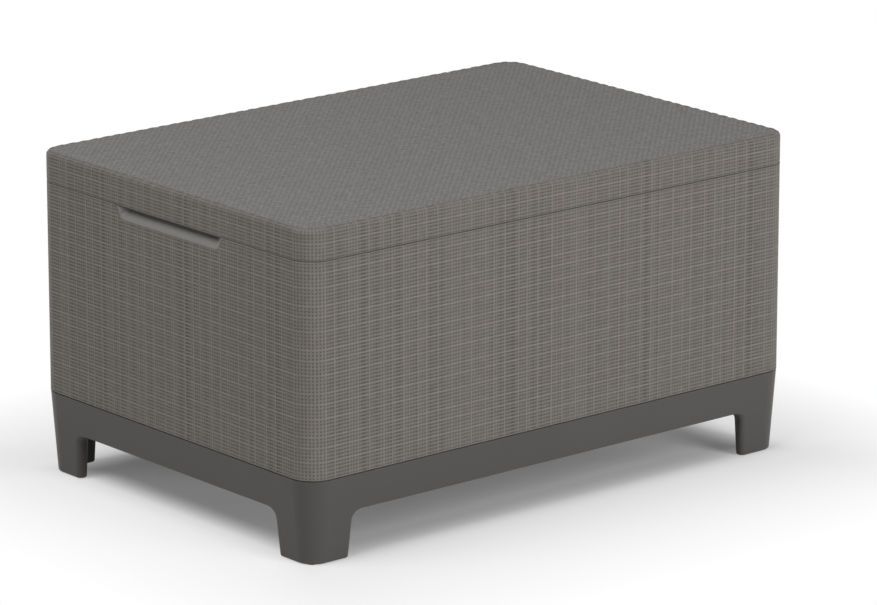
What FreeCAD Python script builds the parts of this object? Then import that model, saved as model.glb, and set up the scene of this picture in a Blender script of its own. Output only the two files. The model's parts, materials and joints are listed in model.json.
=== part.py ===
import FreeCAD, Part
import math
import os
import re

import Sketcher

# Storage table: a woven box wall on a dark legged base, closed by a lid that lifts off.
# X runs along the table, Y from front to back, Z up. The origin is on the floor, under the centre.

# Driving dimensions: name, value (mm, degrees for angles), meaning
SIZES = (
    ("table_length", 787, "outside length of lid and wall, along X"),
    ("table_depth", 544, "outside depth of lid and wall, along Y"),
    ("table_height", 420, "floor to table top"),
    ("corner_radius", 32, "plan radius of the lid and wall corners"),
    ("inner_corner", 3, "smallest plan radius of an inner corner"),
    ("lid_height", 39.9, "visible height of the lid skirt"),
    ("lid_gap", 1, "open seam between lid and wall"),
    ("lid_wall", 4, "thickness of the lid skirt"),
    ("lid_top", 4, "thickness of the lid top"),
    ("lid_edge_radius", 6, "rounding of the lid's top edge"),
    ("lid_rib_gap", 11.5, "space between the lid's ribs and the liner"),
    ("lid_rib_pitch_x", 233, "spacing of the lid's cross ribs"),
    ("lid_rib_pitch_y", 160, "spacing of the lid's long ribs"),
    ("liner_thickness", 3, "panel that closes the lid from below"),
    ("liner_clearance", 0.3, "play between the liner and the lid skirt"),
    ("rim_depth", 12, "how far the liner's rim drops inside the wall"),
    ("rim_thickness", 3, "thickness of the liner's rim"),
    ("rim_clearance", 1.5, "play between the rim and the wall ledge"),
    ("wall_thickness", 4, "thickness of the woven wall"),
    ("ledge_width", 20, "top ledge, from the outside of the wall inwards"),
    ("ledge_thickness", 4, "thickness of the top ledge"),
    ("flange_width", 20, "bottom flange, from the outside of the wall inwards"),
    ("flange_thickness", 4, "thickness of the bottom flange"),
    ("grip_width", 213, "finger scoop, width at the open top"),
    ("grip_height", 16, "finger scoop, from the wall's top edge down, at the wall's face"),
    ("grip_back_height", 3.5, "finger scoop, from the wall's top edge down, at its back"),
    ("grip_depth", 11, "finger scoop, depth into the wall"),
    ("grip_draw", 16, "how far each end of the scoop draws in towards its back"),
    ("grip_end_angle", 27, "slant of the scoop's ends from upright"),
    ("grip_corner", 9, "rounding of the scoop's lower corners on the outside"),
    ("grip_back_corner", 4, "rounding of the scoop's lower corners at its back"),
    ("grip_back_radius", 5, "rounding between the scoop's bottom and its back"),
    ("grip_wall", 3, "thickness of the wall behind the scoop"),
    ("base_height", 107, "floor to the top of the base"),
    ("base_top_inset", 0.2, "step from the wall face in to the top of the base"),
    ("base_foot_inset", 8, "step from the wall face in to the legs at the floor"),
    ("base_band", 14.5, "width of the apron and of the leg flanges at the floor"),
    ("base_wall", 4, "wall thickness of the hollow base"),
    ("apron_clearance", 60.6, "floor to the underside of the apron"),
    ("leg_flat", 37.5, "straight part of each leg flange beside the corner, at the floor"),
    ("leg_side_angle", 4.3, "slant of the leg sides from upright"),
    ("leg_fillet", 13.5, "rounding between the leg sides and the apron"),
    ("leg_edge_radius", 6.8, "rounding of the upright edges of the leg ends"),
    ("apron_edge_radius", 1.5, "rounding of the apron's lower edges"),
    ("sole_edge_radius", 2.5, "rounding of the edges round each leg's sole"),
    ("floor_thickness", 3, "storage floor"),
    ("floor_clearance", 0.3, "play round the storage floor and its ribs"),
    ("floor_rib_depth", 16, "depth of the ribs under the storage floor"),
    ("floor_rib_pitch_x", 130, "spacing of the floor's cross ribs"),
    ("floor_rib_pitch_y", 140, "spacing of the floor's long ribs"),
    ("rib_thickness", 2.5, "thickness of every rib"),
    ("base_screw_setback", 135, "end screws of each side of the base, from the corner of the table"),
    ("base_screw_length", 26, "length of a base screw under its head"),
    ("lid_screw_setback", 25.5, "outer lid screws, from the inside of the liner's rim"),
    ("lid_screw_length", 16, "length of a lid screw under its head"),
    ("screw_radius", 2, "screw shank"),
    ("screw_head_radius", 4.2, "screw head"),
    ("screw_head_height", 2.4, "screw head"),
    ("screw_slot_width", 1.2, "cross recess in a screw head"),
    ("screw_slot_length", 5, "cross recess in a screw head"),
    ("screw_slot_depth", 1.4, "cross recess in a screw head"),
    ("screw_clearance", 0.4, "radial play of a screw in the pieces it passes"),
    ("pilot_clearance", 0.05, "radial play of a screw in its boss"),
    ("pilot_spare", 1.5, "depth of a boss hole past the tip of its screw"),
    ("boss_radius", 5, "screw bosses"),
    ("glide_height", 0.6, "how far the glides lift the legs off the floor"),
    ("glide_radius", 6, "glide pad"),
    ("glide_chamfer", 0.3, "bevel of the glide pad"),
    ("stem_radius", 3, "stem of a glide or bumper"),
    ("stem_clearance", 0.3, "radial play of a stem in its hole"),
    ("barb_step", 0.9, "how far the barb that keeps a stem in its hole stands out from the stem"),
    ("barb_height", 3, "length of the barb"),
    ("bumper_radius", 6, "bumper pad"),
    ("bumper_setback", 100, "bumpers, from the ends of the table"),
)
SIZE_NAMES = {name for name, value, meaning in SIZES}

CORNERS = {"front_left": (-1, -1), "front_right": (1, -1), "back_left": (-1, 1), "back_right": (1, 1)}

# Distance under which a point counts as lying on a face
TOUCH = 0.01

# Levels, radii and insets that several pieces share, as formulas of the driving dimensions
LID_BOTTOM = "table_height - lid_height"
LID_UNDER = "table_height - lid_top"
WALL_TOP = "table_height - lid_height - lid_gap"
LINER_TOP = "table_height - lid_height + liner_thickness"
FLOOR_BOTTOM = "base_height - floor_thickness"
SOLE_TOP = "glide_height + base_wall"
FLANGE_TOP = "base_height + flange_thickness"
REBATE_INSET = "base_top_inset + base_wall"
BAND_INSET = "base_foot_inset + base_band"
RIM_INSET = "max(ledge_width; grip_depth + grip_wall) + rim_clearance"
LEG_LENGTH = "corner_radius + leg_flat"
SCREW_HOLE = "screw_radius + screw_clearance"
PILOT_HOLE = "screw_radius + pilot_clearance"
STEM_HOLE = "stem_radius + stem_clearance"
BARB_RADIUS = "stem_radius + barb_step"

doc = FreeCAD.newDocument("storage_table")
sheet = doc.addObject("Spreadsheet::Sheet", "Sizes")
for row, (name, value, meaning) in enumerate(SIZES, start=1):
    sheet.set(f"A{row}", meaning)
    sheet.set(f"B{row}", str(value))
    sheet.setAlias(f"B{row}", name)
doc.recompute()

probe = doc.addObject("App::FeaturePython", "Probe")
probe.addProperty("App::PropertyFloat", "Result")


def sized(text):
    """Expression text in which every size name points at its cell."""
    return re.sub(r"[a-z_]+", lambda word: f"Sizes.{word[0]}" if word[0] in SIZE_NAMES else word[0], text)


def number(text):
    """Present value of a formula, used to start a sketch near its solved form."""
    probe.setExpression("Result", sized(text))
    probe.recompute()
    return probe.Result


def bind(item, property_name, text):
    item.setExpression(property_name, sized(text))


def origin_item(body, role):
    return next(item for item in body.Origin.OriginFeatures if item.Role == role)


def new_body(label):
    return doc.addObject("PartDesign::Body", label)


def new_sketch(body, name, role="XY_Plane", level="0"):
    """Sketch on an origin plane of its body, moved along the plane's normal to a level."""
    sketch = body.newObject("Sketcher::SketchObject", name)
    sketch.AttachmentSupport = (origin_item(body, role), "")
    sketch.MapMode = "FlatFace"
    bind(sketch, "AttachmentOffset.Base.z", level)
    return sketch


def constrain(sketch, text, kind, *where):
    """Dimension in a sketch, bound to a formula."""
    index = sketch.addConstraint(Sketcher.Constraint(kind, *where, number(text)))
    bind(sketch, f"Constraints[{index}]", text)


def add_rounded_rectangle(sketch, inset):
    """Outline of the table in plan, moved inwards all round."""
    length, depth = f"table_length - 2 * ({inset})", f"table_depth - 2 * ({inset})"
    corner = f"max(corner_radius - ({inset}); inner_corner)"
    half_x, half_y, radius = number(length) / 2, number(depth) / 2, number(corner)
    flat_x, flat_y = half_x - radius, half_y - radius
    ends = ((-flat_x, -half_y), (flat_x, -half_y), (half_x, -flat_y), (half_x, flat_y),
            (flat_x, half_y), (-flat_x, half_y), (-half_x, flat_y), (-half_x, -flat_y))
    centres = ((flat_x, -flat_y), (flat_x, flat_y), (-flat_x, flat_y), (-flat_x, -flat_y))
    first = sketch.GeometryCount
    for side in range(4):
        start, stop = (FreeCAD.Vector(*end) for end in ends[2 * side:2 * side + 2])
        circle = Part.Circle(FreeCAD.Vector(*centres[side]), FreeCAD.Vector(0, 0, 1), radius)
        turn = (side - 1) * math.pi / 2
        sketch.addGeometry(Part.LineSegment(start, stop))
        sketch.addGeometry(Part.ArcOfCircle(circle, turn, turn + math.pi / 2))
    lower, right, upper, left = (first + 2 * side for side in range(4))
    for step in range(8):
        joint = Sketcher.Constraint("Tangent", first + step, 2, first + (step + 1) % 8, 1)
        sketch.addConstraint(joint)
    for line in (lower, upper):
        sketch.addConstraint(Sketcher.Constraint("Horizontal", line))
    for line in (right, left):
        sketch.addConstraint(Sketcher.Constraint("Vertical", line))
    for line in (right, upper, left):
        sketch.addConstraint(Sketcher.Constraint("Equal", lower + 1, line + 1))
    sketch.addConstraint(Sketcher.Constraint("Symmetric", lower + 1, 3, upper + 1, 3, -1, 1))
    constrain(sketch, corner, "Radius", lower + 1)
    constrain(sketch, length, "DistanceX", left, 1, right, 1)
    constrain(sketch, depth, "DistanceY", lower, 1, upper, 1)


def add_polygon(sketch, points):
    """Closed outline through points that are given as pairs of formulas."""
    first, count = sketch.GeometryCount, len(points)
    places = [FreeCAD.Vector(number(across), number(up)) for across, up in points]
    for step in range(count):
        sketch.addGeometry(Part.LineSegment(places[step], places[(step + 1) % count]))
    for step in range(count):
        joint = Sketcher.Constraint("Coincident", first + step, 2, first + (step + 1) % count, 1)
        sketch.addConstraint(joint)
    for step, (across, up) in enumerate(points):
        constrain(sketch, across, "DistanceX", -1, 1, first + step, 1)
        constrain(sketch, up, "DistanceY", -1, 1, first + step, 1)


def add_circles(sketch, points, radius):
    for across, up in points:
        centre = FreeCAD.Vector(number(across), number(up))
        circle = sketch.addGeometry(Part.Circle(centre, FreeCAD.Vector(0, 0, 1), number(radius)))
        constrain(sketch, across, "DistanceX", -1, 1, circle, 3)
        constrain(sketch, up, "DistanceY", -1, 1, circle, 3)
        constrain(sketch, radius, "Radius", circle)


def add_tapered_opening(sketch, open_half, open_level, closed_level, side_angle, corner):
    """Opening that narrows from a straight open edge to a closed edge with rounded corners."""
    half, start, stop = number(open_half), number(open_level), number(closed_level)
    lean, radius = math.radians(number(side_angle)), number(corner)
    way = 1 if stop > start else -1
    narrow = half - abs(stop - start) * math.tan(lean)
    reach = radius * math.tan((math.pi / 2 - lean) / 2)
    centre_x, centre_z = narrow - reach, stop - way * radius
    side_x, side_z = centre_x + radius * math.cos(lean), centre_z + way * radius * math.sin(lean)
    sides = []
    for hand in (1, -1):
        foot = FreeCAD.Vector(hand * half, start)
        head = FreeCAD.Vector(hand * side_x, side_z)
        circle = Part.Circle(FreeCAD.Vector(hand * centre_x, centre_z), FreeCAD.Vector(0, 0, 1), radius)
        first, last = (lean, math.pi / 2) if hand > 0 else (math.pi / 2, math.pi - lean)
        if way < 0:
            first, last = -last, -first
        line = sketch.addGeometry(Part.LineSegment(foot, head))
        arc = sketch.addGeometry(Part.ArcOfCircle(circle, first, last))
        near, far = (1, 2) if hand * way > 0 else (2, 1)
        sketch.addConstraint(Sketcher.Constraint("Tangent", line, 2, arc, near))
        sides.append((line, arc, far))
    (right, right_arc, right_far), (left, left_arc, left_far) = sides
    edge = (FreeCAD.Vector(half, start), FreeCAD.Vector(-half, start))
    end = (FreeCAD.Vector(centre_x, stop), FreeCAD.Vector(-centre_x, stop))
    mouth = sketch.addGeometry(Part.LineSegment(*edge))
    closed = sketch.addGeometry(Part.LineSegment(*end))
    sketch.addConstraint(Sketcher.Constraint("Coincident", mouth, 1, right, 1))
    sketch.addConstraint(Sketcher.Constraint("Coincident", mouth, 2, left, 1))
    sketch.addConstraint(Sketcher.Constraint("Tangent", closed, 1, right_arc, right_far))
    sketch.addConstraint(Sketcher.Constraint("Tangent", closed, 2, left_arc, left_far))
    sketch.addConstraint(Sketcher.Constraint("Symmetric", right, 1, left, 1, -2))
    sketch.addConstraint(Sketcher.Constraint("Symmetric", right_arc, 3, left_arc, 3, -2))
    sketch.addConstraint(Sketcher.Constraint("Equal", right_arc, left_arc))
    constrain(sketch, open_half, "DistanceX", -1, 1, right, 1)
    constrain(sketch, open_level, "DistanceY", -1, 1, right, 1)
    constrain(sketch, closed_level, "DistanceY", -1, 1, closed, 1)
    constrain(sketch, corner, "Radius", right_arc)
    tilt = f"(90 + {side_angle}) * 1 deg" if way > 0 else f"-(90 + {side_angle}) * 1 deg"
    index = sketch.addConstraint(Sketcher.Constraint("Angle", right, way * (math.pi / 2 + lean)))
    bind(sketch, f"Constraints[{index}]", tilt)


def add_feature(body, kind, name, sketch, length=None, **settings):
    """Pad or pocket of a sketch; without a length it goes right through on both sides."""
    feature = body.newObject(f"PartDesign::{kind}", name)
    feature.Profile = sketch
    if length is None:
        feature.SideType = "Symmetric"
        feature.Type = "ThroughAll"
    else:
        bind(feature, "Length", length)
    for setting, choice in settings.items():
        setattr(feature, setting, choice)
    doc.recompute()
    return feature


def add_plate(body, name, inset, level, height, inner=None):
    """Flat plate with the table's outline, or a ring where an inner inset is given."""
    sketch = new_sketch(body, f"{name}_outline", level=level)
    add_rounded_rectangle(sketch, inset)
    if inner is not None:
        add_rounded_rectangle(sketch, inner)
    return add_feature(body, "Pad", name, sketch, height)


def cut_holes(body, name, points, radius, top, depth):
    sketch = new_sketch(body, f"{name}_circles", level=top)
    add_circles(sketch, points, radius)
    return add_feature(body, "Pocket", name, sketch, depth)


def add_ribs(body, name, level, depth, pitch, half, half_row, along):
    """Parallel upright ribs along X or Y, centred on the table, as many as fit in the row."""
    steps = f"floor(({half_row} - rib_thickness) / {pitch})"
    sketch = new_sketch(body, f"{name}_outline", level=level)
    near = f"-{steps} * {pitch} - rib_thickness / 2"
    far = f"-{steps} * {pitch} + rib_thickness / 2"
    corners = ((f"-({half})", near), (half, near), (half, far), (f"-({half})", far))
    if along == "Y":
        corners = [(up, across) for across, up in corners]
    add_polygon(sketch, corners)
    rib = add_feature(body, "Pad", name, sketch, depth)
    pattern = body.newObject("PartDesign::LinearPattern", f"{name}_row")
    pattern.Originals = [rib]
    pattern.Direction = (origin_item(body, "X_Axis" if along == "Y" else "Y_Axis"), [""])
    pattern.Mode = "Spacing"
    bind(pattern, "Offset", pitch)
    bind(pattern, "Occurrences", f"2 * {steps} + 1")
    body.Tip = pattern
    doc.recompute()
    return pattern


def mirror_across_middle(body, feature):
    mirrored = body.newObject("PartDesign::Mirrored", f"{feature.Name}_mirrored")
    mirrored.Originals = [feature]
    mirrored.MirrorPlane = (origin_item(body, "YZ_Plane"), [""])
    body.Tip = mirrored
    doc.recompute()
    return mirrored


def add_turned(body, points):
    """Solid of revolution round the body's own upright axis."""
    sketch = new_sketch(body, f"{body.Name}_profile", role="XZ_Plane")
    add_polygon(sketch, points)
    turned = body.newObject("PartDesign::Revolution", f"{body.Name}_turned")
    turned.Profile = sketch
    turned.ReferenceAxis = (sketch, ["V_Axis"])
    doc.recompute()
    return turned


def place(item, across, along, up="0"):
    for axis, text in zip("xyz", (across, along, up)):
        bind(item, f"Placement.Base.{axis}", text)


def signed(hand, text):
    return f"{hand} * ({text})"


def edges_where(shape, wanted):
    """Names of the edges whose middle point the test accepts."""
    names = []
    for index, edge in enumerate(shape.Edges, start=1):
        middle = edge.valueAt((edge.FirstParameter + edge.LastParameter) / 2)
        if wanted(middle):
            names.append(f"Edge{index}")
    return names


def edge_number(name):
    return int(name.removeprefix("Edge"))


# Base screws stand midway between the inside of the wall and the edge of its flange
BASE_SCREW_INSET = "(wall_thickness + flange_width) / 2"
BASE_SCREWS = [(signed(step, "table_length / 2 - base_screw_setback"),
                signed(side, f"table_depth / 2 - {BASE_SCREW_INSET}"))
               for side in (-1, 1) for step in (-1, 0, 1)]
BASE_SCREWS += [(signed(side, f"table_length / 2 - {BASE_SCREW_INSET}"),
                 signed(step, "table_depth / 2 - base_screw_setback"))
                for side in (-1, 1) for step in (-1, 1)]

# Lid screws stand in three rows of four, evenly spaced between the outer ones
LID_SCREW_INSET = f"{RIM_INSET} + rim_thickness + lid_screw_setback"
LID_SCREWS = [(signed(across, f"(table_length / 2 - ({LID_SCREW_INSET})) / 3"),
               signed(along, f"table_depth / 2 - ({LID_SCREW_INSET})"))
              for along in (-1, 0, 1) for across in (-3, -1, 1, 3)]

# Bumpers stand midway across the part of the ledge that the liner covers
BUMPER_INSET = "(lid_wall + liner_clearance + ledge_width) / 2"
BUMPERS = {corner: (signed(hand_x, "table_length / 2 - bumper_setback"),
                    signed(hand_y, f"table_depth / 2 - {BUMPER_INSET}"))
           for corner, (hand_x, hand_y) in CORNERS.items()}

# A glide sits where the two flanges of its leg meet, halfway through the band on the diagonal
GLIDE_REACH = "corner_radius - (corner_radius - base_foot_inset - base_band / 2) * sqrt(0.5)"
GLIDES = {corner: (signed(hand_x, f"table_length / 2 - ({GLIDE_REACH})"),
                   signed(hand_y, f"table_depth / 2 - ({GLIDE_REACH})"))
          for corner, (hand_x, hand_y) in CORNERS.items()}


def make_wall_shell():
    body = new_body("wall_shell")
    ledge_bottom = f"{WALL_TOP} - ledge_thickness"
    add_plate(body, "wall_ring", "0", "base_height", f"{WALL_TOP} - base_height", inner="wall_thickness")
    add_plate(body, "bottom_flange", "0", "base_height", "flange_thickness", inner="flange_width")
    add_plate(body, "top_ledge", "0", ledge_bottom, "ledge_thickness", inner="ledge_width")
    add_grip(body, "AdditiveLoft", "grip_backing", "grip_wall")
    scoop = add_grip(body, "SubtractiveLoft", "grip_scoop", "0")
    round_scoop_back(body, scoop)
    cut_holes(body, "flange_holes", BASE_SCREWS, SCREW_HOLE, FLANGE_TOP, "flange_thickness")
    return body


def add_grip(body, kind, name, grow):
    """Finger scoop in the left short end and its mirror image; grow gives the wall behind it."""
    top = WALL_TOP if kind == "AdditiveLoft" else LID_BOTTOM
    depth = f"grip_depth + {grow}"
    front = new_sketch(body, f"{name}_front", role="YZ_Plane", level="-table_length / 2")
    add_tapered_opening(front, f"grip_width / 2 + {grow}", top, f"{WALL_TOP} - grip_height - {grow}",
                        "grip_end_angle", f"grip_corner + {grow}")
    back = new_sketch(body, f"{name}_back", role="YZ_Plane", level=f"-table_length / 2 + {depth}")
    add_tapered_opening(back, f"grip_width / 2 - grip_draw + {grow}", top,
                        f"{WALL_TOP} - grip_back_height - {grow}", "grip_end_angle",
                        f"grip_back_corner + {grow}")
    doc.recompute()
    loft = body.newObject(f"PartDesign::{kind}", name)
    loft.Profile = front
    loft.Sections = [back]
    loft.Ruled = True
    doc.recompute()
    return mirror_across_middle(body, loft)


def round_scoop_back(body, scoop):
    """Rounding between each scoop's bottom and its back, up to the end of the lower corners."""
    back = sheet.table_length / 2 - sheet.grip_depth
    corner_rise = sheet.grip_back_corner * (1 - math.sin(math.radians(sheet.grip_end_angle)))
    high = number(f"{WALL_TOP} - grip_back_height") + corner_rise

    def at_back(middle):
        inside = abs(middle.y) < sheet.grip_width / 2
        return inside and middle.z < high and abs(abs(middle.x) - back) < TOUCH

    edge = body.newObject("PartDesign::Fillet", "scoop_back")
    edge.Base = (scoop, edges_where(scoop.Shape, at_back))
    bind(edge, "Radius", "grip_back_radius")
    body.Tip = edge
    doc.recompute()


def make_floor_panel():
    body = new_body("floor_panel")
    add_plate(body, "floor_plate", f"{REBATE_INSET} + floor_clearance", FLOOR_BOTTOM, "floor_thickness")
    level, depth = f"{FLOOR_BOTTOM} - floor_rib_depth", "floor_rib_depth"
    half_x = f"table_length / 2 - ({BAND_INSET} + floor_clearance)"
    half_y = f"table_depth / 2 - ({BAND_INSET} + floor_clearance)"
    add_ribs(body, "cross_rib", level, depth, "floor_rib_pitch_x", half_y, half_x, "Y")
    add_ribs(body, "long_rib", level, depth, "floor_rib_pitch_y", half_x, half_y, "X")
    cut_holes(body, "floor_holes", BASE_SCREWS, SCREW_HOLE, "base_height", "floor_thickness")
    return body


def add_leaning_block(body, name, inset, level, height):
    """Block whose sides lean outwards as they rise, as the outside of the base does."""
    block = add_plate(body, name, inset, level, height)
    lean = body.newObject("PartDesign::Draft", f"{name}_lean")
    sides = []
    for index, face in enumerate(block.Shape.Faces, start=1):
        first_u, last_u, first_v, last_v = face.ParameterRange
        normal = face.normalAt((first_u + last_u) / 2, (first_v + last_v) / 2)
        if abs(normal.z) < TOUCH:
            sides.append(f"Face{index}")
    lean.Base = (block, sides)
    lean.NeutralPlane = (origin_item(body, "XY_Plane"), [""])
    bind(lean, "Angle", "atan((base_foot_inset - base_top_inset) / base_height)")
    lean.Reversed = True
    body.Tip = lean
    doc.recompute()
    return lean


def cut_leg_gaps(body, name, grow):
    """Openings between the legs, from front to back and from end to end."""
    for role, side in (("XZ_Plane", "table_length"), ("YZ_Plane", "table_depth")):
        sketch = new_sketch(body, f"{name}_{side}", role=role)
        add_tapered_opening(sketch, f"{side} / 2 - ({LEG_LENGTH}) + {grow}", "0", f"apron_clearance + {grow}",
                            "leg_side_angle", f"leg_fillet + {grow}")
        add_feature(body, "Pocket", f"{name}_cut_{side}", sketch)


def add_posts(body, name, points, radius, level, height):
    sketch = new_sketch(body, f"{name}_circles", level=level)
    add_circles(sketch, points, radius)
    return add_feature(body, "Pad", name, sketch, height)


def make_base_frame():
    outside = new_body("base_outside")
    add_leaning_block(outside, "base_block", "base_foot_inset", "glide_height", "base_height - glide_height")
    inner = new_sketch(outside, "band_outline")
    add_rounded_rectangle(inner, BAND_INSET)
    add_feature(outside, "Pocket", "band_opening", inner)
    rebate = new_sketch(outside, "rebate_outline", level="base_height")
    add_rounded_rectangle(rebate, REBATE_INSET)
    add_feature(outside, "Pocket", "floor_rebate", rebate, "floor_thickness")
    cut_leg_gaps(outside, "leg_gap", "0")

    frame = doc.addObject("Part::Cut", "base_frame")
    frame.Base = round_leg_edges(outside)
    frame.Tool = make_base_hollow()
    doc.recompute()
    return frame


def make_base_hollow():
    """Space inside the base: the channel round the bosses, their screw holes and the glide holes."""
    hollow = new_body("base_hollow")
    hollow.AllowCompound = True
    channel_height = f"{FLOOR_BOTTOM} - ({SOLE_TOP})"
    add_leaning_block(hollow, "channel", "base_foot_inset + base_wall", SOLE_TOP, channel_height)
    inner = new_sketch(hollow, "channel_inner_outline")
    add_rounded_rectangle(inner, f"{BAND_INSET} - base_wall")
    add_feature(hollow, "Pocket", "channel_inner", inner)
    cut_leg_gaps(hollow, "channel_gap", "base_wall")
    bosses = new_sketch(hollow, "boss_circles")
    add_circles(bosses, BASE_SCREWS, "boss_radius")
    add_feature(hollow, "Pocket", "bosses", bosses)
    pilot_bottom = f"{FLANGE_TOP} - base_screw_length - pilot_spare"
    add_posts(hollow, "pilots", BASE_SCREWS, PILOT_HOLE, pilot_bottom, f"{FLOOR_BOTTOM} - ({pilot_bottom})")
    stems = list(GLIDES.values())
    add_posts(hollow, "stem_holes", stems, STEM_HOLE, "0", SOLE_TOP)
    add_posts(hollow, "barb_holes", stems, f"{BARB_RADIUS} + stem_clearance", SOLE_TOP,
              "barb_height + 2 * stem_clearance")
    return hollow


def round_leg_edges(outside):
    """Rounded leg ends that run out into the apron's sharper lower edge, then rounded soles."""
    lean = (sheet.base_foot_inset - sheet.base_top_inset) / sheet.base_height
    halves = (sheet.table_length / 2, sheet.table_depth / 2)
    leg_length = number(LEG_LENGTH)

    def on_band_face(middle):
        for spot, half in zip((middle.x, middle.y), halves):
            outer = half - sheet.base_foot_inset + lean * middle.z
            inner = half - sheet.base_foot_inset - sheet.base_band
            if min(abs(abs(spot) - outer), abs(abs(spot) - inner)) < TOUCH:
                return True
        return False

    def on_gap_edge(middle):
        in_corner = all(abs(spot) > half - leg_length + TOUCH
                        for spot, half in zip((middle.x, middle.y), halves))
        in_height = sheet.glide_height + TOUCH < middle.z < sheet.apron_clearance + TOUCH
        return in_height and not in_corner and on_band_face(middle)

    edges = []
    for name in edges_where(outside.Shape, on_gap_edge):
        index = edge_number(name)
        edge = outside.Shape.Edges[index - 1]
        heights = [edge.valueAt(end).z for end in (edge.FirstParameter, edge.LastParameter)]
        radii = [sheet.leg_edge_radius if height < sheet.apron_clearance - TOUCH else sheet.apron_edge_radius
                 for height in heights]
        edges.append((index, *radii))
    ends = doc.addObject("Part::Fillet", "leg_ends")
    ends.Base = outside
    ends.Edges = edges
    doc.recompute()
    soles = doc.addObject("Part::Fillet", "leg_soles")
    soles.Base = ends
    names = edges_where(ends.Shape, lambda middle: middle.z < sheet.glide_height + TOUCH)
    soles.Edges = [(edge_number(name), sheet.sole_edge_radius, sheet.sole_edge_radius) for name in names]
    doc.recompute()
    return soles


def make_lid_shell():
    body = new_body("lid_shell")
    add_plate(body, "lid_block", "0", LID_BOTTOM, "lid_height")
    inside = new_sketch(body, "lid_inside_outline", level=LID_BOTTOM)
    add_rounded_rectangle(inside, "lid_wall")
    hollow = add_feature(body, "Pocket", "lid_inside", inside, "lid_height - lid_top", Reversed=True)
    edge = body.newObject("PartDesign::Fillet", "top_edge")
    edge.Base = (hollow, edges_where(hollow.Shape, lambda middle: middle.z > sheet.table_height - TOUCH))
    bind(edge, "Radius", "lid_edge_radius")
    body.Tip = edge
    doc.recompute()
    level = f"{LINER_TOP} + lid_rib_gap"
    depth = f"{LID_UNDER} - ({level})"
    half_x, half_y = "table_length / 2 - lid_wall", "table_depth / 2 - lid_wall"
    add_ribs(body, "lid_cross_rib", level, depth, "lid_rib_pitch_x", half_y, half_x, "Y")
    add_ribs(body, "lid_long_rib", level, depth, "lid_rib_pitch_y", half_x, half_y, "X")
    add_posts(body, "lid_bosses", LID_SCREWS, "boss_radius", LINER_TOP, f"{LID_UNDER} - ({LINER_TOP})")
    pilots = new_sketch(body, "lid_pilot_circles", level=LINER_TOP)
    add_circles(pilots, LID_SCREWS, PILOT_HOLE)
    pilot_depth = "lid_screw_length - liner_thickness + pilot_spare"
    add_feature(body, "Pocket", "lid_pilots", pilots, pilot_depth, Reversed=True)
    return body


def make_lid_liner():
    body = new_body("lid_liner")
    add_plate(body, "liner_plate", "lid_wall + liner_clearance", LID_BOTTOM, "liner_thickness")
    rim_bottom, rim_inside = f"{LID_BOTTOM} - rim_depth", f"{RIM_INSET} + rim_thickness"
    add_plate(body, "liner_rim", RIM_INSET, rim_bottom, "rim_depth", inner=rim_inside)
    cut_holes(body, "liner_holes", LID_SCREWS, SCREW_HOLE, LINER_TOP, "liner_thickness")
    cut_holes(body, "bumper_holes", list(BUMPERS.values()), STEM_HOLE, LINER_TOP, "liner_thickness")
    return body


def make_screw(label, length):
    """One screw, head up, with its seat at the origin."""
    body = new_body(label)
    radius, head = "screw_radius", "screw_head_radius"
    add_turned(body, (("0", f"-{length}"), (f"{radius} / 2", f"-{length}"), (radius, f"-{length} + {radius}"),
                      (radius, "0"), (head, "0"), (head, "screw_head_height / 2"),
                      (f"{head} / 2", "screw_head_height"), ("0", "screw_head_height")))
    for name, across, up in (("slot_x", "screw_slot_length", "screw_slot_width"),
                             ("slot_y", "screw_slot_width", "screw_slot_length")):
        slot = new_sketch(body, f"{label}_{name}", level="screw_head_height")
        add_polygon(slot, [(signed(hand_x, f"{across} / 2"), signed(hand_y, f"{up} / 2"))
                           for hand_x, hand_y in ((-1, -1), (1, -1), (1, 1), (-1, 1))])
        add_feature(body, "Pocket", f"{label}_{name}_cut", slot, "screw_slot_depth")
    return body


def make_screw_group(label, screw, points, seat, head_down=False):
    """Copies of one screw at each place, as separate solids of one group."""
    copies = []
    for index, (across, along) in enumerate(points, start=1):
        copy = doc.addObject("App::Link", f"{label}_{index}")
        copy.LinkedObject = screw
        if head_down:
            copy.Placement.Rotation = FreeCAD.Rotation(FreeCAD.Vector(1, 0, 0), 180)
        place(copy, across, along, seat)
        copies.append(copy)
    group = doc.addObject("Part::Compound", label)
    group.Links = copies
    doc.recompute()
    return group


def make_glide(corner):
    """Push-in glide: a pad on the floor, a stem through the leg's sole and a barb above it."""
    body = new_body(f"foot_glide_{corner}")
    barb = f"{SOLE_TOP} + stem_clearance"
    add_turned(body, (("0", "0"), ("glide_radius - glide_chamfer", "0"), ("glide_radius", "glide_chamfer"),
                      ("glide_radius", "glide_height"), ("stem_radius", "glide_height"),
                      ("stem_radius", barb), (BARB_RADIUS, barb),
                      ("stem_radius / 2", f"{barb} + barb_height"), ("0", f"{barb} + barb_height")))
    place(body, *GLIDES[corner])
    return body


def make_bumper(corner):
    """Soft pad between the wall ledge and the liner, with a stem through the liner."""
    body = new_body(f"lid_bumper_{corner}")
    barb = f"{LINER_TOP} + stem_clearance"
    add_turned(body, (("0", WALL_TOP), ("bumper_radius", WALL_TOP), ("bumper_radius", LID_BOTTOM),
                      ("stem_radius", LID_BOTTOM), ("stem_radius", barb), (BARB_RADIUS, barb),
                      ("stem_radius / 2", f"{barb} + barb_height"), ("0", f"{barb} + barb_height")))
    place(body, *BUMPERS[corner])
    return body


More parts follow.
